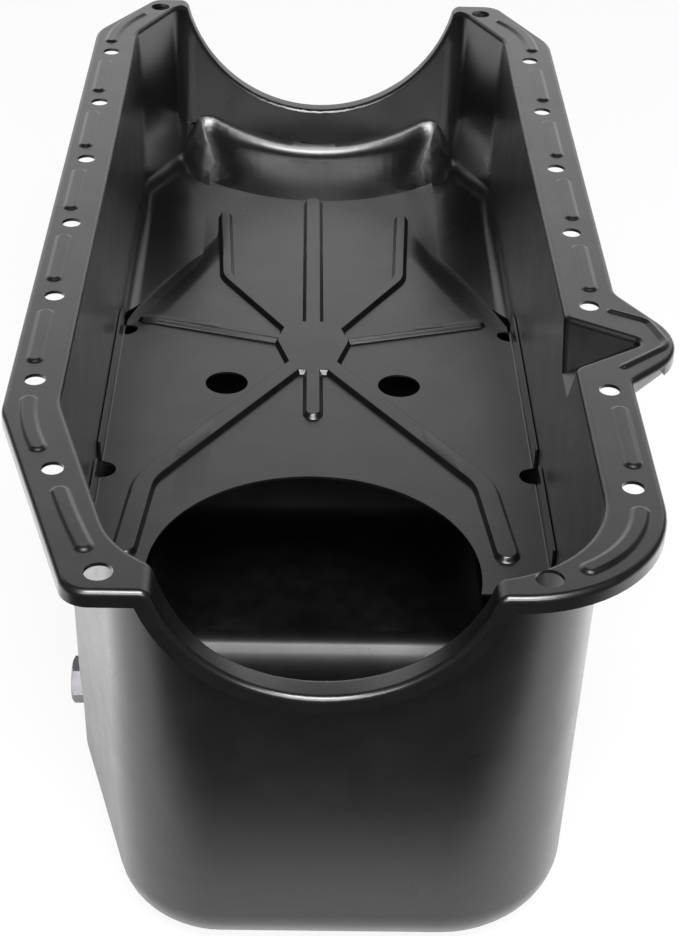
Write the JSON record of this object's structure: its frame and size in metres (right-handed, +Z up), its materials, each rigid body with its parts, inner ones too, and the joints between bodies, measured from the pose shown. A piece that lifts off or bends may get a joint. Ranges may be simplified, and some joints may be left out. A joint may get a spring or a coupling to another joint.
{
  "type": "engine oil pan",
  "caption": "Pressed-steel engine oil pan with a deep stepped rear sump, beaded bolt rail, crank seal seats, a welded windage tray and a side drain plug.",
  "frame": {"origin": "middle of the side-rail bolt holes, in the gasket plane on top of the rail", "axes": "+Z up out of the gasket plane, +Y towards the front seal seat, +X towards the side with the bulge in the rail"},
  "size_m": [0.2793, 0.576, 0.1967],
  "materials": {
    "painted_sheet": "satin black baked paint on pressed steel",
    "painted_tray": "satin black baked paint on pressed steel",
    "painted_bush": "satin black paint on turned steel",
    "gasket": "dark moulded sealing washer",
    "plug": "plated turned steel"
  },
  "bodies": {
    "pan": {"pan_body": "painted_sheet", "windage_tray": "painted_tray", "drain_bush": "painted_bush"},
    "washer": {"drain_gasket": "gasket"},
    "plug": {"drain_plug": "plug"}
  },
  "joints": [
    {"name": "drain_travel", "type": "slide", "parent": "pan", "child": "washer", "axis": [-1, 0, 0], "range_m": [0, 0.0127]},
    {"name": "drain_turn", "type": "hinge", "parent": "washer", "child": "plug", "pos_m": [-0.0995, -0.168, -0.166], "axis": [-1, 0, 0], "range_deg": [0, 3601]}
  ],
  "couplings": [
    {"joint": "drain_turn", "follows": "drain_travel", "rad_per_m": 4947.4}
  ]
}
